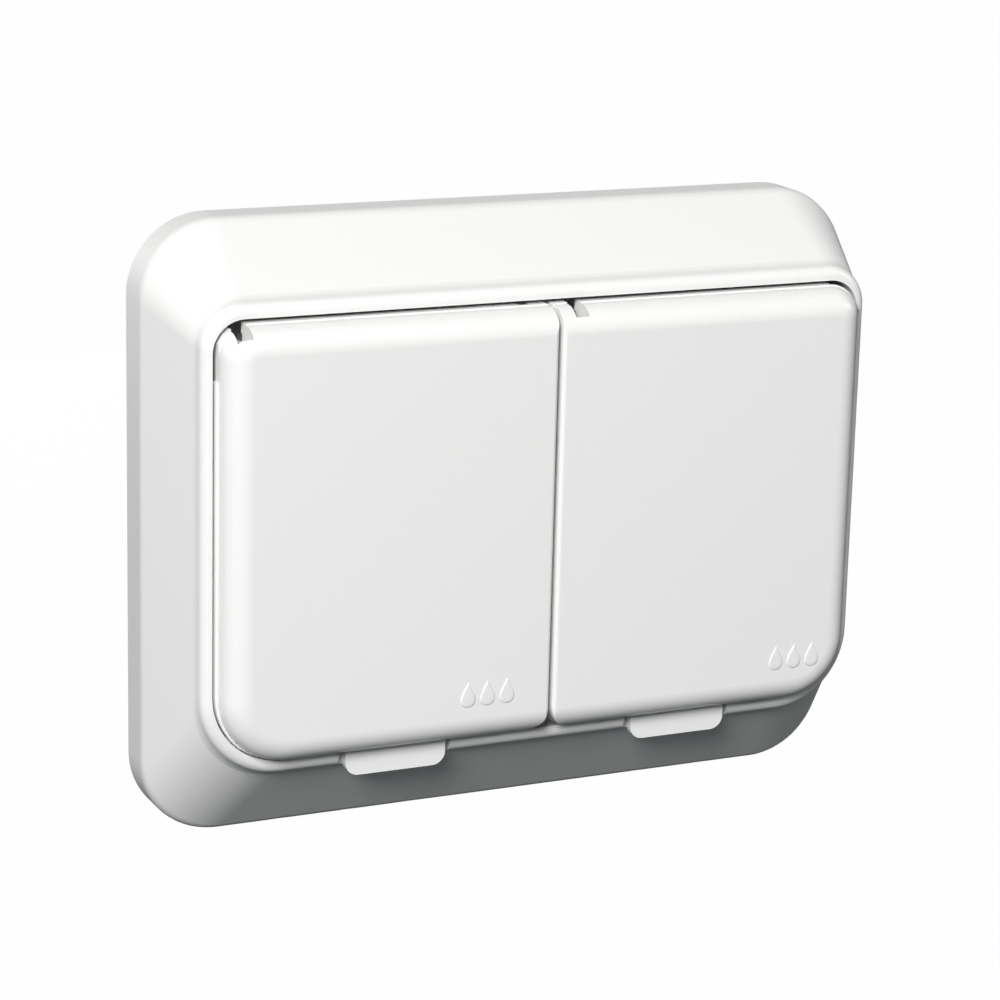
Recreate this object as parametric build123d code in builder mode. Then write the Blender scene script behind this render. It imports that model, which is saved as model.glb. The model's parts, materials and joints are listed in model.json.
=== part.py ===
"""Weatherproof double wall socket: a deep surround frame with two sprung lids over two round outlets.

Millimetres. X runs to the right along the wall, Z runs up, and the wall plane is y = 0. The front looks
towards -Y, so a depth d out of the wall lies at y = -d. The origin is the middle of the frame on the wall.
"""

from build123d import *
import os

os.makedirs("parts", exist_ok=True)

# Outlets: the pitch of two gangs, the round recess and the pins
outlet_pitch = 71.0
recess_r = 19.8
recess_deep = 17.5
pin_pitch = 19.0
pin_hole_r = 2.75
face_size = 59.4
face_corner = 5.0
cup_wall = 2.2
floor_thick = 2.1
box_screw_pitch = 60.0
box_screw_r = 2.1
face_screw_r = 1.5

# Surround frame
side_border = 7.6
frame_height = 126.8
frame_corner = 16.1
side_wall_deep = 8.2
lip_base_depth = 25.5
lip_height = 3.6
edge_round = 4.5
shell = 2.2
window_top = 47.3
window_low = -42.4
window_r_top = 6.5
window_r_low = 14.6
lip_side = 2.4
lip_top = 3.4
lip_low = 3.6
lip_crest = 1.8
bead_round = 2.1
lip_blend = 4.5
collar_wall = 1.8
rib_thick = 1.6
rib_back = 4.0
side_rib_z = 20.0

# Lids
lid_back_depth = 26.7
lid_deep = 8.3
lid_wall = 2.0
lid_round = 5.2
lid_gap = 0.9
flange_proud = 0.6
flange_deep = 2.7
side_gap = 0.45
top_gap = 0.8
low_gap = 0.4
lid_low_r = 13.6
inner_low_r = 5.5
inner_edge_r = 0.8
tab_width = 21.8
tab_drop = 5.4
tab_thick = 1.8
tab_offset = 3.5
tab_corner = 2.8

# Hinge
pin_r = 1.2
turn_clear = 0.05
press_clear = 0.02
knuckle_r = 2.2
lug_thick = 2.4
slot_width = 3.0
cheek = 3.1
low_lug_thick = 1.6
low_lug_inset = 4.35
wire_r = 0.4
coil_turns = 3.375
seat_clear = 0.3

# Inner parts
plate_depth = 18.2
plate_thick = 2.5
plate_lap = 2.2
collar_lap = 0.7
contact_r = 2.55
contact_wall = 0.7
contact_end = 4.3
block_deep = 6.6
wire_drop = 11.0
wire_hole_r = 1.9
terminal_r = 2.0
terminal_long = 6.2
seal_wide = 2.2
strap_wide = 4.4
carrier_half = 21.5
carrier_deep = 22.0
support_thick = 1.0

# Worked-out sizes
half_window = outlet_pitch
frame_width = 2 * (half_window + side_border)
lip_depth = lip_base_depth + lip_height
lid_front_depth = lid_back_depth + lid_deep
collar_front_depth = lid_back_depth + collar_lap
half_face = face_size / 2
face_front = plate_depth + plate_thick + 2.4
recess_floor = face_front - recess_deep
collar_in = half_face + seat_clear
collar_out = collar_in + 1.4
body_top = window_top - top_gap - flange_proud + 0.3
body_low = window_low + low_gap + 0.2
axis_z = body_top - lid_round
axis_d = lid_front_depth - lid_round
inner_r = lid_round - lid_wall


def pane(d, left, right, low, high, lt, rt, lb, rb):
    """A rounded rectangle at depth d, each corner with its own radius."""
    with BuildSketch(Plane.XZ.offset(d)) as s:
        with BuildLine():
            Line((left + lb, low), (right - rb, low))
            CenterArc((right - rb, low + rb), rb, -90, 90)
            Line((right, low + rb), (right, high - rt))
            CenterArc((right - rt, high - rt), rt, 0, 90)
            Line((right - rt, high), (left + lt, high))
            CenterArc((left + lt, high - lt), lt, 90, 90)
            Line((left, high - lt), (left, low + lb))
            CenterArc((left + lb, low + lb), lb, 180, 90)
        make_face()
    return s.sketch


def even_pane(d, half, high, low, r_top, r_low):
    """A rounded rectangle centred left to right."""
    return pane(d, -half, half, low, high, r_top, r_top, r_low, r_low)


def square_pane(d, cx, half, r):
    """A rounded square about one outlet's centre."""
    return pane(d, cx - half, cx + half, -half, half, r, r, r, r)


def block(x0, x1, d0, d1, z0, z1, mode=Mode.ADD):
    """A box between two x, two depths and two heights."""
    with Locations(((x0 + x1) / 2, -(d0 + d1) / 2, (z0 + z1) / 2)):
        Box(x1 - x0, d1 - d0, z1 - z0, mode=mode)


def rod(x, z, r, d0, d1, mode=Mode.ADD):
    """A round bar that runs out of the wall from d0 to d1."""
    with BuildSketch(Plane.XZ.offset(d0)) as s:
        with Locations((x, z)):
            Circle(r)
    extrude(s.sketch, amount=d1 - d0, mode=mode)


def axle(x0, x1, r, mode=Mode.ADD):
    """A round bar along the hinge axis."""
    with BuildSketch(Plane.YZ.offset(x0)) as s:
        with Locations((-axis_d, axis_z)):
            Circle(r)
    extrude(s.sketch, amount=x1 - x0, mode=mode)


def rib(x0, x1, points, mode=Mode.ADD):
    """A slice between two x; its points are (depth, height)."""
    with BuildSketch(Plane.YZ.offset(x0)) as s:
        with BuildLine():
            Polyline(*[(-d, z) for d, z in points], close=True)
        make_face()
    extrude(s.sketch, amount=x1 - x0, mode=mode)


def about_axis(points):
    """Offsets from the hinge axis turned into (depth, height)."""
    return [(axis_d + d, axis_z + z) for d, z in points]


def keep(shape, name):
    """Name the piece and write its file."""
    shape.label = name
    export_step(shape, "parts/" + name + ".step")


# The hollow between the skin of the frame and the collar round its window, with stiffening ribs left in
skin_half = frame_width / 2 - shell
skin_high = frame_height / 2 - shell
lip_half = half_window + lip_side
with BuildPart() as frame_hollow:
    in_r = frame_corner - shell
    extrude(even_pane(0, skin_half, skin_high, -skin_high, in_r, in_r), amount=side_wall_deep - 0.6)
    loft(
        [
            even_pane(side_wall_deep - 0.6, skin_half, skin_high, -skin_high, in_r, in_r),
            even_pane(
                lip_base_depth - shell,
                lip_half - 0.1,
                window_top + lip_top - 0.4,
                window_low - lip_low + 0.4,
                window_r_top + lip_side - 0.2,
                window_r_low + lip_side - 0.2,
            ),
        ]
    )
    extrude(
        even_pane(
            0,
            half_window + collar_wall,
            window_top + collar_wall,
            window_low - collar_wall,
            window_r_top + collar_wall,
            window_r_low + collar_wall,
        ),
        amount=lip_depth,
        mode=Mode.SUBTRACT,
    )
    half_rib = rib_thick / 2
    for x in (-outlet_pitch / 2, outlet_pitch / 2):
        block(x - half_rib, x + half_rib, rib_back, lip_depth, -frame_height, frame_height, Mode.SUBTRACT)
    for z in (-side_rib_z, side_rib_z):
        block(-frame_width, frame_width, rib_back, lip_depth, z - half_rib, z + half_rib, Mode.SUBTRACT)

with BuildPart() as frame_cover:
    extrude(
        even_pane(0, frame_width / 2, frame_height / 2, -frame_height / 2, frame_corner, frame_corner),
        amount=side_wall_deep,
    )
    loft(
        [
            even_pane(
                side_wall_deep,
                frame_width / 2,
                frame_height / 2,
                -frame_height / 2,
                frame_corner,
                frame_corner,
            ),
            even_pane(
                lip_base_depth,
                lip_half,
                window_top + lip_top,
                window_low - lip_low,
                window_r_top + lip_side,
                window_r_low + lip_side,
            ),
        ]
    )
    fillet(
        [e for e in frame_cover.edges() if abs(e.center().Y + side_wall_deep) < 0.01],
        radius=edge_round,
    )
    loft(
        [
            even_pane(
                lip_base_depth,
                lip_half,
                window_top + lip_top,
                window_low - lip_low,
                window_r_top + lip_side,
                window_r_low + lip_side,
            ),
            even_pane(
                lip_depth,
                half_window + lip_crest,
                window_top + lip_crest + 0.6,
                window_low - lip_crest - 0.6,
                window_r_top + lip_crest,
                window_r_low + lip_crest,
            ),
        ]
    )
    fillet([e for e in frame_cover.edges() if abs(e.center().Y + lip_depth) < 0.01], radius=bead_round)
    fillet([e for e in frame_cover.edges() if abs(e.center().Y + lip_base_depth) < 0.01], radius=lip_blend)
    add(frame_hollow.part, mode=Mode.SUBTRACT)
    extrude(
        even_pane(0, half_window, window_top, window_low, window_r_top, window_r_low),
        amount=lip_depth + 1,
        mode=Mode.SUBTRACT,
    )
    # The seat that the inner plate is pressed on
    seat_front = plate_depth - seat_clear
    extrude(
        even_pane(seat_front - 2, half_window, window_top, window_low, window_r_top, window_r_low)
        - even_pane(
            seat_front - 2,
            half_window - 3,
            window_top - 3,
            window_low + 3,
            window_r_top - 3,
            window_r_low - 3,
        ),
        amount=2,
    )
    # The ledge that the lids close on stops short of the hinge
    ledge_front = lid_back_depth - seat_clear
    ledge_top = axis_z - 5.6
    extrude(
        pane(
            ledge_front - 2,
            -half_window,
            half_window,
            window_low,
            ledge_top,
            0.4,
            0.4,
            window_r_low,
            window_r_low,
        )
        - pane(
            ledge_front - 2,
            -half_window + 1.8,
            half_window - 1.8,
            window_low + 1.8,
            ledge_top + 5,
            0.4,
            0.4,
            window_r_low - 1.8,
            window_r_low - 1.8,
        ),
        amount=2,
    )
    # Shallow notches let the finger tabs pass the lip
    for s in (-1, 1):
        x = s * (outlet_pitch / 2 - tab_offset)
        reach = tab_width / 2 + 1.3
        block(
            x - reach,
            x + reach,
            lip_depth - 1.9,
            lip_depth + 1,
            window_low - lip_low - 2,
            window_low + 0.5,
            Mode.SUBTRACT,
        )
keep(frame_cover.part, "frame_cover")

# Foam seal against the wall, just inside the frame's back edge
with BuildPart() as wall_gasket:
    inset = 0.15
    extrude(
        even_pane(0, skin_half - inset, skin_high - inset, -skin_high + inset, 13.6, 13.6)
        - even_pane(0, skin_half - 2.9, skin_high - 2.9, -skin_high + 2.9, 11, 11),
        amount=3.4,
    )
keep(wall_gasket.part, "wall_gasket")

# Inner plate: it closes the window behind the lids and carries the hinge lugs
plate_front = plate_depth + plate_thick
window_gap = 0.3
lid_starts = (-half_window + side_gap, lid_gap / 2)
lid_ends = (-lid_gap / 2, half_window - side_gap)
with BuildPart() as inner_plate:
    extrude(
        even_pane(
            plate_depth,
            half_window - window_gap,
            window_top - window_gap,
            window_low + window_gap,
            window_r_top - window_gap,
            window_r_low - window_gap,
        ),
        amount=plate_thick,
    )
    for s in (-1, 1):
        cx = s * outlet_pitch / 2
        extrude(
            square_pane(plate_front, cx, collar_out, face_corner + 1.7),
            amount=collar_front_depth - plate_front,
        )
        extrude(
            square_pane(plate_front, cx, collar_in, face_corner + 0.3),
            amount=collar_front_depth - plate_front + 1,
            mode=Mode.SUBTRACT,
        )
        extrude(
            square_pane(plate_depth - 1, cx, half_face - plate_lap, face_corner),
            amount=plate_thick + 2,
            mode=Mode.SUBTRACT,
        )
    for start, end in zip(lid_starts, lid_ends):
        # the high lug stands in the lid's slot, its arm runs straight back
        x0 = start + cheek + (slot_width - lug_thick) / 2
        back = plate_front - 0.2 - axis_d
        rib(x0, x0 + lug_thick, about_axis([(back, -1.7), (0, -1.7), (0, 1.7), (back, 1.7)]))
        axle(x0, x0 + lug_thick, knuckle_r)
        # the low lug comes up from below, clear of the lid's turning edge
        x1 = end - low_lug_inset - low_lug_thick
        foot = collar_out + 0.4 - axis_z
        gusset = [
            (-1.5, -1.6),
            (-4.9, foot),
            (back, foot),
            (back, foot - 3),
            (-2.7, foot - 3),
            (-2.7, foot),
            (1.3, -1.8),
        ]
        rib(x1, x1 + low_lug_thick, about_axis(gusset))
        axle(x1, x1 + low_lug_thick, knuckle_r)
        axle(start, end, pin_r + press_clear, Mode.SUBTRACT)
keep(inner_plate.part, "inner_plate")


def make_lid(s):
    """One lid: a hollow cap with a large rounding on three sides; s is -1 on the left and 1 on the right."""
    start = lid_starts[0] if s < 0 else lid_starts[1]
    end = lid_ends[0] if s < 0 else lid_ends[1]
    outer = s * (half_window - side_gap)
    inner = s * lid_gap / 2
    body_side = outer - s * flange_proud
    far = -s * 20
    cx = s * outlet_pitch / 2
    slot = start + cheek
    low_lug = end - low_lug_inset - low_lug_thick

    def lid_pane(d, out_x, in_x, low, high, r_out_top, r_in_top, r_out_low, r_in_low):
        if s < 0:
            return pane(d, out_x, in_x, low, high, r_out_top, r_in_top, r_out_low, r_in_low)
        return pane(d, in_x, out_x, low, high, r_in_top, r_out_top, r_in_low, r_out_low)

    deep = lid_front_depth - lid_back_depth
    with BuildPart() as blank:
        extrude(
            lid_pane(lid_back_depth, body_side, inner, body_low, body_top, 6, 0.5, lid_low_r, inner_low_r),
            amount=deep,
        )
        front_edges = [e for e in blank.edges() if abs(e.center().Y + lid_front_depth) < 0.01]
        fillet([e for e in front_edges if abs(e.center().X - inner) < 0.3], radius=inner_edge_r)
    with BuildPart() as pillow:
        extrude(
            lid_pane(lid_back_depth, body_side, far, body_low, body_top, 6, 6, lid_low_r, 6),
            amount=deep,
        )
        fillet([e for e in pillow.edges() if abs(e.center().Y + lid_front_depth) < 0.01], radius=lid_round)
    with BuildPart() as cavity:
        extrude(
            lid_pane(
                lid_back_depth - 1,
                body_side - s * (lid_wall - 0.1),
                inner + s * (lid_wall - 0.35),
                body_low + lid_wall,
                body_top - lid_wall,
                4,
                inner_r + 0.2,
                lid_low_r - lid_wall,
                inner_r + 0.6,
            ),
            amount=deep + 1 - lid_wall,
        )
        fillet(
            [e for e in cavity.edges() if abs(e.center().Y + lid_front_depth - lid_wall) < 0.01],
            radius=inner_r,
        )
        # the rib that holds the seal stays solid
        rib_back = collar_front_depth + seat_clear + 1.9
        extrude(
            square_pane(rib_back, cx, collar_out - 0.2, face_corner + 1.5)
            - square_pane(rib_back, cx, collar_out - 1.2, face_corner + 0.5),
            amount=lid_front_depth - rib_back,
            mode=Mode.SUBTRACT,
        )
        # so do the ears and end cheeks that turn on the pin
        ear = about_axis([(-2.3, -2.4), (inner_r + 1, -2.4), (inner_r + 1, inner_r + 1), (-2.3, inner_r + 1)])
        rib(start, slot, ear, Mode.SUBTRACT)
        rib(slot + slot_width, slot + slot_width + 2.2, ear, Mode.SUBTRACT)
        rib(low_lug - 0.3 - 2.2, low_lug - 0.3, ear, Mode.SUBTRACT)
        rib(low_lug + low_lug_thick + 0.3, end, ear, Mode.SUBTRACT)
    with BuildPart() as lid:
        add(blank.part)
        add(pillow.part, mode=Mode.INTERSECT)
        extrude(
            lid_pane(
                lid_back_depth,
                outer,
                inner,
                body_low - 0.2,
                window_top - top_gap,
                6.4,
                0.5,
                lid_low_r + 0.5,
                inner_low_r,
            ),
            amount=flange_deep,
        )
        # the flange's side stops below the hinge
        edge = sorted((body_side, outer + s))
        flange_front = lid_back_depth + flange_deep
        block(*edge, lid_back_depth - 1, flange_front + 1, ledge_top, window_top, Mode.SUBTRACT)
        add(cavity.part, mode=Mode.SUBTRACT)
        # finger tab
        tx = cx - s * tab_offset
        tab_front = lid_back_depth + flange_deep + 0.2
        extrude(
            pane(
                tab_front - tab_thick,
                tx - tab_width / 2,
                tx + tab_width / 2,
                body_low - 0.2 - tab_drop,
                body_low + 0.6,
                0.3,
                0.3,
                tab_corner,
                tab_corner,
            ),
            amount=tab_thick,
        )
        # the slot through the rounding lets the high lug pass as the lid opens
        rib(
            slot,
            slot + slot_width,
            about_axis([(-5, -2.6), (2.6, -2.6), (2.6, 1.2), (4.1, 3.4), (4.3, 7), (-5, 7)]),
            Mode.SUBTRACT,
        )
        rib(
            low_lug - 0.3,
            low_lug + low_lug_thick + 0.3,
            about_axis([(-5, 2), (-1.2, 2), (-0.9, 7), (-5, 7)]),
            Mode.SUBTRACT,
        )
        axle(start + flange_proud + 0.7, end + 0.01, pin_r + turn_clear, Mode.SUBTRACT)
    return lid.part


for s, name in ((-1, "left"), (1, "right")):
    keep(make_lid(s), "lid_" + name)

# Torsion spring: a coil on the pin, one leg under the lid's top wall and one down to the collar
coil_r = inner_r - wire_r - 0.35
coil_pitch = 2 * wire_r + 0.15
x_coil = outlet_pitch / 2 - coil_turns * coil_pitch / 2
with BuildPart() as lid_spring:
    with BuildLine() as coil:
        Helix(
            coil_pitch,
            coil_turns * coil_pitch,
            coil_r,
            center=(x_coil, -axis_d, axis_z),
            direction=(1, 0, 0),
        )
    with BuildSketch(Plane(origin=coil.line @ 0, z_dir=coil.line % 0)):
        RegularPolygon(wire_r, 8)
    sweep(path=coil.line, is_frenet=True)
    with BuildSketch(Plane(origin=coil.line @ 0, z_dir=coil.line % 0 * -1)) as leg:
        RegularPolygon(wire_r, 8)
    extrude(leg.sketch, amount=axis_d - lid_back_depth - 0.2)
    away = coil.line % 1
    with BuildSketch(Plane(origin=coil.line @ 1, z_dir=away)) as tail:
        RegularPolygon(wire_r, 8)
    drop = (coil.line @ 1).Z - collar_out - wire_r - seat_clear
    extrude(tail.sketch, amount=drop / abs(away.Z))
keep(lid_spring.part, "lid_spring_right")
keep(lid_spring.part.moved(Location((-outlet_pitch, 0, 0))), "lid_spring_left")

for s, name in ((-1, "left"), (1, "right")):
    cx = s * outlet_pitch / 2
    start = lid_starts[0] if s < 0 else lid_starts[1]
    end = lid_ends[0] if s < 0 else lid_ends[1]

    with BuildPart() as lid_seal:
        seal_back = collar_front_depth + seat_clear
        seal_mid = (collar_in + collar_out) / 2
        extrude(
            square_pane(seal_back, cx, seal_mid + seal_wide / 2, face_corner + 2.1)
            - square_pane(seal_back, cx, seal_mid - seal_wide / 2, face_corner - 0.1),
            amount=1.8,
        )
    keep(lid_seal.part, "lid_seal_" + name)

    with BuildPart() as hinge_pin:
        axle(start + flange_proud + 0.9, end - 0.3, pin_r)
    keep(hinge_pin.part, "hinge_pin_" + name)

    # Outlet face: a square plate with a deep round recess
    with BuildPart() as outlet_face:
        extrude(square_pane(face_front - 2, cx, half_face, face_corner), amount=2)
        fillet(
            [e for e in outlet_face.edges() if abs(e.center().Y + face_front) < 0.01],
            radius=0.8,
        )
        extrude(
            square_pane(plate_depth - 2, cx, half_face - plate_lap - seat_clear, face_corner - 0.5),
            amount=face_front - plate_depth,
        )
        rod(cx, 0, recess_r + cup_wall, recess_floor - floor_thick, face_front - 0.5)
        rod(cx, 0, recess_r, recess_floor, face_front + 1, Mode.SUBTRACT)
        # side guides
        for g in (-1, 1):
            x_wall = cx + g * (recess_r + 0.4)
            x_tip = cx + g * (recess_r - 1.6)
            block(min(x_wall, x_tip), max(x_wall, x_tip), recess_floor - 0.1, face_front - 1.5, -2.3, 2.3)
            rod(cx + g * pin_pitch / 2, 0, pin_hole_r, recess_floor - 5, recess_floor + 5, Mode.SUBTRACT)
            # slots for the earth springs
            z_in = g * (recess_r - 1)
            z_out = g * (recess_r + 4)
            block(
                cx - strap_wide / 2 - 0.4,
                cx + strap_wide / 2 + 0.4,
                recess_floor - floor_thick - 1,
                face_front - 3.2,
                min(z_in, z_out),
                max(z_in, z_out),
                Mode.SUBTRACT,
            )
        rod(cx, 0, face_screw_r + 0.3, recess_floor - 5, recess_floor + 5, Mode.SUBTRACT)
    keep(outlet_face.part, "outlet_face_" + name)

    with BuildPart() as face_gasket:
        extrude(
            square_pane(plate_front + 0.05, cx, half_face - 0.3, face_corner)
            - square_pane(plate_front + 0.05, cx, half_face - 1.9, face_corner - 1.2),
            amount=0.3,
        )
    keep(face_gasket.part, "face_gasket_" + name)

    # Earth strap: a sprung clip above and below the recess, joined behind its floor
    strap_front = recess_floor - floor_thick - 0.15
    strap_back = strap_front - 1
    clip_top = face_front - 4.4
    with BuildPart() as earth_strap:
        block(
            cx - strap_wide / 2,
            cx + strap_wide / 2,
            strap_back,
            strap_front,
            -recess_r - 3.4,
            recess_r + 3.4,
        )
        for g in (-1, 1):
            wall = recess_r + 2.4
            rib(
                cx - strap_wide / 2,
                cx + strap_wide / 2,
                [
                    (strap_back, g * (wall + 1)),
                    (strap_back, g * wall),
                    (recess_floor + 3, g * wall),
                    (recess_floor + 8.5, g * (recess_r - 1.4)),
                    (clip_top - 1, g * (wall - 0.6)),
                    (clip_top, g * (wall - 0.6)),
                    (clip_top - 0.4, g * (wall + 0.4)),
                    (clip_top - 1.6, g * (wall + 0.4)),
                    (recess_floor + 8.5, g * (recess_r - 0.2)),
                    (recess_floor + 3.4, g * (wall + 1)),
                ],
            )
        rod(cx, 0, face_screw_r + 0.3, strap_back - 1, strap_front + 1, Mode.SUBTRACT)
    keep(earth_strap.part, "earth_strap_" + name)

    # Contact carrier: a moulded block behind the wall plane
    carrier_front = strap_back - 0.1
    carrier_back = carrier_front - carrier_deep
    shoulder = -0.3
    sleeve_r = contact_r + contact_wall
    block_front = carrier_back + contact_end + block_deep
    terminal_depth = carrier_back + contact_end + block_deep / 2
    with BuildPart() as contact_carrier:
        extrude(square_pane(carrier_back, cx, carrier_half, 4), amount=shoulder - carrier_back)
        extrude(square_pane(shoulder, cx, carrier_half - 1.3, 3), amount=carrier_front - shoulder)
        for g in (-1, 1):
            x = cx + g * pin_pitch / 2
            well_r = sleeve_r + seat_clear
            rod(x, 0, well_r, carrier_back + contact_end - seat_clear, carrier_front + 1, Mode.SUBTRACT)
            well_back = carrier_back + contact_end - seat_clear
            well_low = -wire_drop - sleeve_r - seat_clear
            block(x - well_r, x + well_r, well_back, block_front + seat_clear, well_low, 0, Mode.SUBTRACT)
            rod(x, -wire_drop, wire_hole_r, carrier_back - 1, carrier_back + 5, Mode.SUBTRACT)
        for x in (cx - pin_pitch / 2, cx, cx + pin_pitch / 2):
            with BuildSketch(Plane.XY.offset(-carrier_half - 1)) as well:
                with Locations((x, -terminal_depth)):
                    Circle(terminal_r + 0.2)
            extrude(well.sketch, amount=8, mode=Mode.SUBTRACT)
        rod(cx, 0, face_screw_r + 0.12, carrier_front - 14, carrier_front + 1, Mode.SUBTRACT)
    keep(contact_carrier.part, "contact_carrier_" + name)

    # Brass contacts: a split sleeve for the pin and a block for the wire
    for g, pole in ((-1, "line"), (1, "neutral")):
        x = cx + g * pin_pitch / 2
        with BuildPart() as contact:
            contact_back = carrier_back + contact_end
            rod(x, 0, sleeve_r, contact_back, carrier_front - 0.4)
            block(x - sleeve_r, x + sleeve_r, contact_back, block_front, -wire_drop - sleeve_r, -1)
            rod(x, 0, contact_r, contact_back + 1.3, carrier_front + 1, Mode.SUBTRACT)
            block(x - 0.4, x + 0.4, block_front + 0.6, carrier_front + 1, -4, 4, Mode.SUBTRACT)
            rod(x, -wire_drop, wire_hole_r - 0.2, carrier_back, block_front - 1.4, Mode.SUBTRACT)
        keep(contact.part, "contact_" + pole + "_" + name)

    with BuildPart() as terminal_screws:
        for x in (cx - pin_pitch / 2, cx, cx + pin_pitch / 2):
            with BuildSketch(Plane.XY.offset(-carrier_half + 0.4)) as screw:
                with Locations((x, -terminal_depth)):
                    Circle(terminal_r)
            extrude(screw.sketch, amount=terminal_long)
            low = -carrier_half
            block(
                x - terminal_r - 0.2,
                x + terminal_r + 0.2,
                terminal_depth - 0.3,
                terminal_depth + 0.3,
                low,
                low + 1.3,
                Mode.SUBTRACT,
            )
    keep(terminal_screws.part, "terminal_screws_" + name)

    # Steel support plate that the box screws hold
    with BuildPart() as support_plate:
        support_half = outlet_pitch / 2 - 0.4
        support_high = box_screw_pitch / 2 + box_screw_r + 1.6
        extrude(
            pane(0, cx - support_half, cx + support_half, -support_high, support_high, 8, 8, 8, 8),
            amount=support_thick,
        )
        extrude(square_pane(-1, cx, carrier_half - 1, 3.3), amount=support_thick + 2, mode=Mode.SUBTRACT)
        for g in (-1, 1):
            rod(cx, g * box_screw_pitch / 2, box_screw_r, -1, support_thick + 1, Mode.SUBTRACT)
            rod(cx + g * box_screw_pitch / 2, 0, 1.6, -1, support_thick + 1, Mode.SUBTRACT)
    keep(support_plate.part, "support_plate_" + name)

    with BuildPart() as face_screw:
        head_seat = recess_floor + 0.1
        rod(cx, 0, face_screw_r + 1.6, head_seat, head_seat + 2)
        chamfer([e for e in face_screw.edges() if abs(e.center().Y + head_seat + 2) < 0.01], length=0.6)
        rod(cx, 0, face_screw_r, carrier_front - 13, head_seat + 0.5)
        block(cx - 4, cx + 4, head_seat + 1.1, head_seat + 3, -0.45, 0.45, Mode.SUBTRACT)
    keep(face_screw.part, "face_screw_" + name)
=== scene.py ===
"""Looks of the weatherproof double wall socket: finishes, water drops, lid springs, light and camera.

Metres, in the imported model's frame: X to the right along the wall, Z up, the front towards -Y.
"""

import json
import math

import bpy
import numpy as np
from mathutils import Matrix, Vector


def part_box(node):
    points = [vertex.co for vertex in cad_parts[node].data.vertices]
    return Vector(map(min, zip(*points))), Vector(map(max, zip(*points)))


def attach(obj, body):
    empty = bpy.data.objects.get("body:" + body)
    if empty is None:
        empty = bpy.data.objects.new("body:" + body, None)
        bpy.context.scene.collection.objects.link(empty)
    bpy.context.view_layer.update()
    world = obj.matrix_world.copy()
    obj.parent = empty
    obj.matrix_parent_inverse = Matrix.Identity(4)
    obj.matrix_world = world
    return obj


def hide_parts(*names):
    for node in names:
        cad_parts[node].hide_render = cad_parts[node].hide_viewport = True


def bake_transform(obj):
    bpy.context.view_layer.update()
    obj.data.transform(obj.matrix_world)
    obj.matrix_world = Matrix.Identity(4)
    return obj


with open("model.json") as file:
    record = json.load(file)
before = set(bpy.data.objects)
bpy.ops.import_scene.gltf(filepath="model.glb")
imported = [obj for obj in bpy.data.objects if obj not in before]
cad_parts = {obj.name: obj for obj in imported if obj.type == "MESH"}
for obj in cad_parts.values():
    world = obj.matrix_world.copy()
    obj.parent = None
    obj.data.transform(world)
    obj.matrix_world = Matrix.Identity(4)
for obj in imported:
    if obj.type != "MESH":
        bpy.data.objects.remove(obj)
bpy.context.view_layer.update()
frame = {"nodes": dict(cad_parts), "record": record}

MM = 0.001


class Value:
    """An output socket of a node tree. Its sums and products add Math nodes to that tree."""

    def __init__(self, graph, socket):
        self.graph = graph
        self.socket = socket

    def maths(self, operation, other):
        return self.graph.node("ShaderNodeMath", {"operation": operation}, {0: self, 1: other}, 0)

    def __add__(self, other):
        return self.maths("ADD", other)

    def __mul__(self, other):
        return self.maths("MULTIPLY", other)

    def at_least(self, other):
        return self.maths("MAXIMUM", other)


class Graph:
    """A node tree that nodes are added to."""

    def __init__(self, tree):
        self.tree = tree

    def node(self, kind, settings, sockets, out):
        """Adds a node: its settings first, then the values or links of its sockets. Returns one output."""
        made = self.tree.nodes.new(kind)
        for key, value in settings.items():
            if key == "stops":
                ramp = made.color_ramp
                while len(ramp.elements) < len(value):
                    ramp.elements.new(0.5)
                for element, (position, shade) in zip(ramp.elements, value):
                    element.position = position
                    element.color = shade
            else:
                setattr(made, key, value)
        for key, value in sockets.items():
            self.feed(made.inputs[key], value)
        return Value(self, made.outputs[out])

    def feed(self, socket, value):
        """Links a Value to an input socket, or sets a plain value on it."""
        if isinstance(value, Value):
            self.tree.links.new(value.socket, socket)
        else:
            socket.default_value = value

    def ray(self, kind):
        """1 where the ray is of that kind, such as Is Camera Ray, and 0 elsewhere."""
        return self.node("ShaderNodeLightPath", {}, {}, kind)


class Finish(Graph):
    """A material on Object coordinates. The scales of its noise and cells are per metre."""

    def __init__(self, name, **constants):
        self.material = bpy.data.materials.new(name)
        self.material.use_nodes = True
        super().__init__(self.material.node_tree)
        self.shader = self.tree.nodes["Principled BSDF"]
        self.place = self.node("ShaderNodeTexCoord", {}, {}, "Object")
        self.wear(**constants)

    def stretched(self, scale):
        """Object coordinates scaled on each axis, for grain that runs one way."""
        return self.node("ShaderNodeMapping", {}, {"Vector": self.place, "Scale": scale}, "Vector")

    def noise(self, scale, detail=2.0, rough=0.5, where=None):
        sockets = {"Vector": where or self.place, "Scale": scale, "Detail": detail, "Roughness": rough}
        return self.node("ShaderNodeTexNoise", {}, sockets, "Fac")

    def cells(self, scale, out):
        return self.node("ShaderNodeTexVoronoi", {}, {"Vector": self.place, "Scale": scale}, out)

    def tint(self, factor, low, high):
        """A colour between low and high."""
        sockets = {0: factor, 6: (*low, 1.0), 7: (*high, 1.0)}
        return self.node("ShaderNodeMix", {"data_type": "RGBA"}, sockets, 2)

    def bump(self, height, strength, distance):
        sockets = {"Height": height, "Strength": strength, "Distance": distance}
        return self.node("ShaderNodeBump", {}, sockets, "Normal")

    def wear(self, **sockets):
        """Feeds the shader's sockets, with spaces for the underscores of their names."""
        for socket, value in sockets.items():
            self.feed(self.shader.inputs[socket.replace("_", " ")], value)
        return self.material


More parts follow.
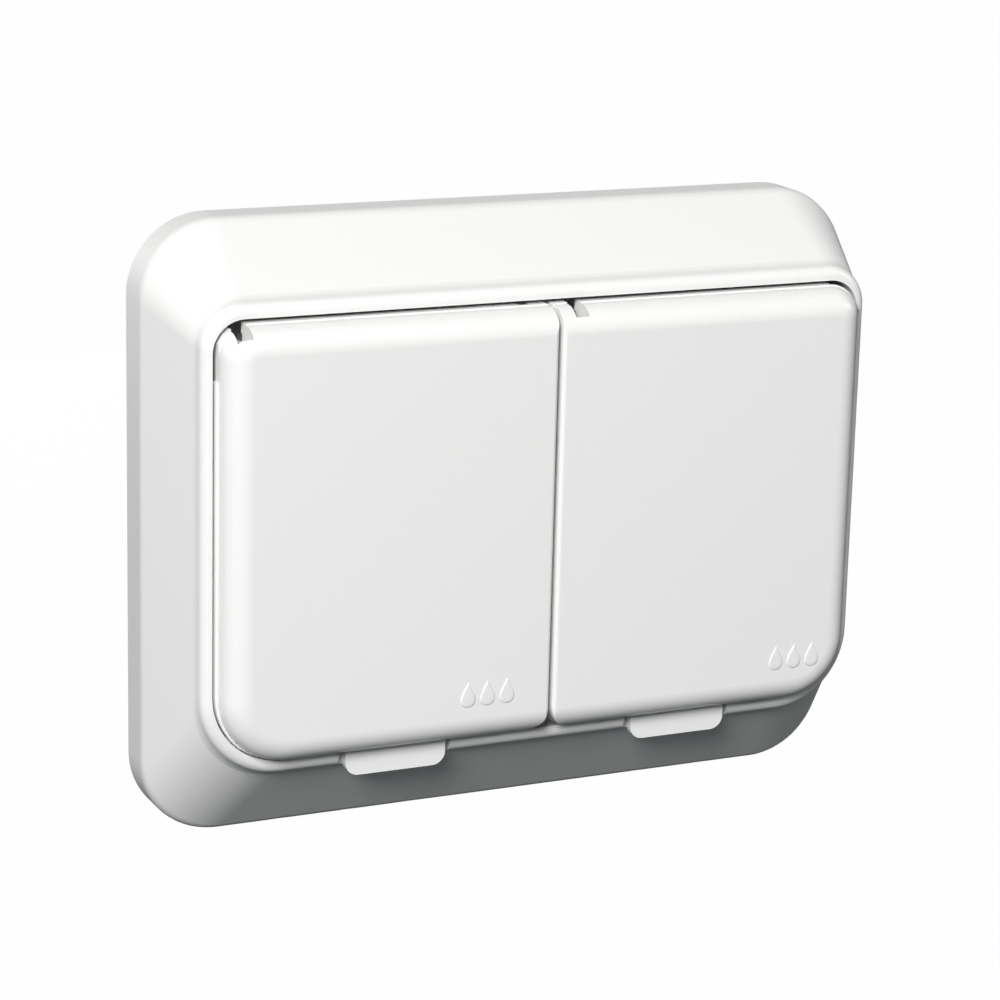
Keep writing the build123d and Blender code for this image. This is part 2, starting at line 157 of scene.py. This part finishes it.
def moulded_white(name, low, high, gloss):
    """Smooth satin-gloss plastic: a fine speckle of pigment, and a very fine mould grain."""
    finish = Finish(name, IOR=1.5)
    pigment = finish.noise(1500.0, 3.0, 0.7)
    grain = finish.noise(2600.0)
    return finish.wear(
        Base_Color=finish.tint(pigment, low, high),
        Roughness=grain * 0.02 + gloss,
        Normal=finish.bump(grain, 0.05, 0.02 * MM),
    )


def closed_cell_foam():
    """Dark foam: small round cells pitted into a matt skin."""
    finish = Finish("closed_cell_foam", IOR=1.45)
    pores = finish.cells(900.0, "Distance")
    return finish.wear(
        Base_Color=finish.tint(pores, (0.010, 0.010, 0.011), (0.035, 0.035, 0.036)),
        Roughness=pores * 0.1 + 0.82,
        Normal=finish.bump(pores, 0.7, 0.3 * MM),
    )


def matt_rubber():
    """Grey moulded seal rubber with a dusty bloom."""
    finish = Finish("matt_rubber", IOR=1.5)
    bloom = finish.noise(70.0, 4.0, 0.6)
    skin = finish.noise(1800.0)
    return finish.wear(
        Base_Color=finish.tint(bloom, (0.028, 0.029, 0.031), (0.050, 0.051, 0.054)),
        Roughness=bloom * 0.15 + 0.55,
        Normal=finish.bump(skin, 0.25, 0.08 * MM),
    )


def drawn_steel(name, colour, along, rough):
    """Bright drawn steel: fine scratches along its length."""
    finish = Finish(name, Metallic=1.0)
    scratches = finish.noise(1.0, 3.0, 0.6, finish.stretched(along))
    dark = tuple(0.82 * c for c in colour)
    return finish.wear(
        Base_Color=finish.tint(scratches, dark, colour),
        Roughness=scratches * 0.18 + rough,
        Normal=finish.bump(scratches, 0.15, 0.03 * MM),
    )


def galvanised_sheet():
    """Zinc-coated sheet: angular spangles that differ a little in shade and gloss."""
    finish = Finish("galvanised_sheet", Metallic=1.0)
    spangle = finish.cells(380.0, "Color")
    shade = finish.node("ShaderNodeRGBToBW", {}, {"Color": spangle}, "Val")
    rolled = finish.noise(1.0, where=finish.stretched((60.0, 60.0, 1500.0)))
    return finish.wear(
        Base_Color=finish.tint(shade, (0.28, 0.29, 0.30), (0.40, 0.41, 0.42)),
        Roughness=shade * 0.1 + 0.36,
        Normal=finish.bump(rolled, 0.12, 0.04 * MM),
    )


def stamped_brass():
    """Stamped brass: rolled grain and light tarnish in patches."""
    finish = Finish("stamped_brass", Metallic=1.0)
    tarnish = finish.noise(160.0, 4.0, 0.6)
    rolled = finish.noise(1.0, where=finish.stretched((2200.0, 120.0, 120.0)))
    return finish.wear(
        Base_Color=finish.tint(tarnish, (0.47, 0.32, 0.13), (0.66, 0.47, 0.20)),
        Roughness=tarnish * 0.2 + 0.2,
        Normal=finish.bump(rolled, 0.1, 0.03 * MM),
    )


def speckled_thermoset():
    """Grey pressed thermoset: pale filler specks in a matt ground."""
    finish = Finish("speckled_thermoset", IOR=1.52)
    ramp = {"stops": [(0.58, (0, 0, 0, 1)), (0.68, (1, 1, 1, 1))]}
    specks = finish.node("ShaderNodeValToRGB", ramp, {"Fac": finish.noise(900.0, 3.0)}, "Color")
    skin = finish.noise(600.0, 3.0)
    return finish.wear(
        Base_Color=finish.tint(specks, (0.060, 0.063, 0.066), (0.115, 0.118, 0.120)),
        Roughness=skin * 0.2 + 0.42,
        Normal=finish.bump(skin, 0.2, 0.06 * MM),
    )


outer_white = ((0.775, 0.775, 0.765), (0.795, 0.795, 0.785))
socket_white = ((0.72, 0.72, 0.715), (0.76, 0.76, 0.75))
finishes = {
    "shell_white": moulded_white("shell_white", *outer_white, 0.27),
    "lid_white": moulded_white("lid_white", *outer_white, 0.25),
    "inner_white": moulded_white("inner_white", *socket_white, 0.33),
    "foam_grey": closed_cell_foam(),
    "seal_grey": matt_rubber(),
    "pin_steel": drawn_steel("pin_steel", (0.56, 0.56, 0.57), (40.0, 2400.0, 2400.0), 0.2),
    "spring_steel": drawn_steel("spring_steel", (0.42, 0.42, 0.43), (900.0, 900.0, 900.0), 0.25),
    "contact_brass": stamped_brass(),
    "carrier_grey": speckled_thermoset(),
    "screw_steel": drawn_steel("screw_steel", (0.60, 0.60, 0.61), (900.0, 300.0, 900.0), 0.24),
    "plate_steel": galvanised_sheet(),
}

for row in frame["record"]["subparts"]:
    piece = frame["nodes"][row["node"]]
    piece.data.materials.clear()
    piece.data.materials.append(finishes[row["material_slot"]])


def closed_rings(name, rings, first, last):
    """A closed skin through rings of points, with a fan from each end ring to its pole.

    rings has the shape (ring, point, 3). Point j of ring i joins point j of ring i + 1.
    """
    count, around = rings.shape[:2]
    points = np.concatenate([rings.reshape(-1, 3), [first, last]])
    i, j = np.meshgrid(np.arange(count - 1), np.arange(around), indexing="ij")
    k = (j + 1) % around
    quads = np.stack([i * around + j, i * around + k, (i + 1) * around + k, (i + 1) * around + j], axis=-1)
    j = np.arange(around)
    k = (j + 1) % around
    low = np.stack([np.full(around, count * around), k, j], axis=-1)
    end = (count - 1) * around
    high = np.stack([np.full(around, count * around + 1), end + j, end + k], axis=-1)
    mesh = bpy.data.meshes.new(name)
    mesh.from_pydata(points.tolist(), [], quads.reshape(-1, 4).tolist() + low.tolist() + high.tolist())
    mesh.shade_smooth()
    made = bpy.data.objects.new(name, mesh)
    bpy.context.collection.objects.link(made)
    return made


# A row of raised water drops stands low on each lid, on the side away from the hinge slot
drop_high = 5.3 * MM
drop_wide = 3.3 * MM
drop_step = 4.3 * MM
drop_z = -31.4 * MM
drop_proud = 0.22 * MM
drop_sunk = 0.15 * MM
drop_points = 48
row_middle = {"left": -14.4 * MM, "right": 56.4 * MM}

# sin(t/2) to this power draws the drop's top to a point, and the other is about the peak of sin t times that
point_power = 1.4
widest = 0.72


def splash_drop(name, x, z, front):
    """One raised drop, pointed at the top.

    Outline at angle t: across = wide/2 sin t |sin(t/2)|^power / widest, up = high/2 cos t. Share r of it, from
    the middle to the rim, stands proud by (1 - r^8)^(1/2). The underside is a flat face sunk into the lid.
    """
    t = np.linspace(0, 2 * np.pi, drop_points, endpoint=False)
    across = drop_wide / 2 * np.sin(t) * np.abs(np.sin(t / 2)) ** point_power / widest
    up = drop_high / 2 * np.cos(t)
    share = np.array([0.3, 0.6, 0.8, 0.9, 0.96, 0.99, 1.0, 1.0, 0.5])
    proud = drop_proud * np.sqrt(1 - share**8)
    proud[-2:] = -drop_sunk
    rings = np.stack(
        [
            x + share[:, None] * across,
            front - np.broadcast_to(proud[:, None], (len(share), len(t))),
            z + share[:, None] * up,
        ],
        axis=-1,
    )
    return closed_rings(name, rings, (x, front - drop_proud, z), (x, front + drop_sunk, z))


for side, middle in row_middle.items():
    low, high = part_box("lid_" + side)
    for n in (-1, 0, 1):
        drop = splash_drop("splash_drop_%s_%d" % (side, n + 2), middle + n * drop_step, drop_z, low[1])
        drop.data.materials.append(finishes["lid_white"])
        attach(drop, side + "_lid")


# Torsion springs: each is one round wire coiled about its hinge, in place of the model's lid spring, which is
# hidden
wire_r = 0.4 * MM
wire_points = 14
coil_r = 2.45 * MM
coil_pitch = 0.95 * MM
coil_turns = 3.375
rings_per_turn = 40
lid_leg = 2.9 * MM
collar_leg = 10.15 * MM


def torsion_spring(name, hinge):
    """A round wire along a helix about the hinge, with a straight leg on from each end of it.

    At angle t the wire's middle is half the coil's length back from the hinge's middle, plus pitch t / 2 pi.
    It stands at the coil's radius, turned t from straight up towards the front. Ring point p is wire_r from
    it at angle p, between the outward direction and the one square to that and to the wire.
    """
    t = np.linspace(0, 2 * np.pi * coil_turns, int(rings_per_turn * coil_turns))
    rise = coil_pitch / (2 * np.pi)
    zero = np.zeros_like(t)
    outward = np.stack([zero, -np.sin(t), np.cos(t)], axis=-1)
    along = np.stack([zero + rise, -coil_r * np.cos(t), -coil_r * np.sin(t)], axis=-1)
    along /= np.linalg.norm(along, axis=-1, keepdims=True)
    middle = np.array(hinge) + coil_r * outward
    middle[:, 0] += rise * t - coil_pitch * coil_turns / 2
    lid_tip = middle[0] - lid_leg * along[0]
    collar_tip = middle[-1] + collar_leg * along[-1]
    middle = np.concatenate([[lid_tip], middle, [collar_tip]])
    outward = np.concatenate([outward[:1], outward, outward[-1:]])
    along = np.concatenate([along[:1], along, along[-1:]])
    beside = np.cross(along, outward)
    p = np.linspace(0, 2 * np.pi, wire_points, endpoint=False)[None, :, None]
    rings = middle[:, None] + wire_r * (np.cos(p) * outward[:, None] + np.sin(p) * beside[:, None])
    return closed_rings(name, rings, lid_tip, collar_tip)


for joint in frame["record"]["behaviour"]["joints"]:
    x, y, z = joint["pos_m"]
    lid = joint["child"]
    side = lid.split("_")[0]
    spring = torsion_spring("torsion_spring_" + side, (x, y, z))
    spring.data.materials.append(finishes["spring_steel"])
    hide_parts("lid_spring_" + side)
    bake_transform(spring)


# The floor is well below the part, which hangs on a wall. It and the world are white to the camera
floor_z = -0.32
floor_half = 12.0
floor_glow = 1.02
glow_share = 0.97
ambient = 0.02
mirrored_share = 0.6


def pale_floor():
    finish = Finish("pale_floor", Roughness=0.8)
    dust = finish.noise(3.0)
    finish.wear(Base_Color=finish.tint(dust, (0.044, 0.053, 0.055), (0.053, 0.062, 0.064)))
    glow = finish.node("ShaderNodeEmission", {}, {"Color": (1, 1, 1, 1), "Strength": floor_glow}, 0)
    lit = Value(finish, finish.shader.outputs[0])
    share = finish.ray("Is Camera Ray") * glow_share
    mixed = finish.node("ShaderNodeMixShader", {}, {0: share, 1: lit, 2: glow}, 0)
    finish.feed(finish.tree.nodes["Material Output"].inputs["Surface"], mixed)
    return finish.material


floor_mesh = bpy.data.meshes.new("floor")
corners = [(-1, -1), (1, -1), (1, 1), (-1, 1)]
floor_points = [(floor_half * across, floor_half * back, floor_z) for across, back in corners]
floor_mesh.from_pydata(floor_points, [], [(0, 1, 2, 3)])
floor_mesh.materials.append(pale_floor())
floor = bpy.data.objects.new("floor", floor_mesh)
bpy.context.collection.objects.link(floor)

world = bpy.data.worlds.new("studio")
bpy.context.scene.world = world
world.use_nodes = True
sky = Graph(world.node_tree)
backdrop = sky.tree.nodes["Background"].inputs
seen = sky.ray("Is Camera Ray").at_least(sky.ray("Is Transmission Ray"))
seen = seen.at_least(sky.ray("Is Glossy Ray") * mirrored_share)
sky.feed(backdrop["Color"], (1, 1, 1, 1))
sky.feed(backdrop["Strength"], seen.at_least(ambient))


def softbox(name, towards, distance, size, watts):
    """A square lamp that faces the part's middle from the given direction."""
    lamp = bpy.data.lights.new(name, "AREA")
    lamp.shape = "SQUARE"
    lamp.size = size
    lamp.energy = watts
    made = bpy.data.objects.new(name, lamp)
    direction = Vector(towards).normalized()
    made.location = direction * distance
    made.rotation_euler = direction.to_track_quat("Z", "Y").to_euler()
    made.visible_camera = False
    bpy.context.collection.objects.link(made)


softbox("key", (-0.58, -0.73, 0.56), distance=2.2, size=0.8, watts=66.0)
softbox("right", (0.9, -0.45, 0.42), distance=1.6, size=0.6, watts=4.8)
softbox("back", (0.03, 1.0, -0.08), distance=1.6, size=0.8, watts=13.0)

# Camera: the photograph's view, fitted to the frame's and the lids' corners
yaw = math.radians(25.113)
pitch = math.radians(14.75)
roll = math.radians(1.44)
reach = 678.01 * MM
aim = Vector((3.68 * MM, 0, -1.56 * MM))
focal_px = 3214.76
picture_px = 1000
sensor_mm = 36

forward = Vector((math.sin(yaw) * math.cos(pitch), math.cos(yaw) * math.cos(pitch), -math.sin(pitch)))
level = Vector((math.cos(yaw), -math.sin(yaw), 0))
upright = level.cross(forward)
right = math.cos(roll) * level + math.sin(roll) * upright
up = math.cos(roll) * upright - math.sin(roll) * level
lens = bpy.data.cameras.new("camera")
lens.sensor_width = sensor_mm
lens.lens = sensor_mm * focal_px / picture_px
lens.clip_start = 0.01
camera = bpy.data.objects.new("camera", lens)
turn = Matrix((right, up, -forward)).transposed()
camera.matrix_world = Matrix.Translation(aim - reach * forward) @ turn.to_4x4()
bpy.context.collection.objects.link(camera)
bpy.context.scene.camera = camera
bpy.context.scene.view_settings.view_transform = "Standard"
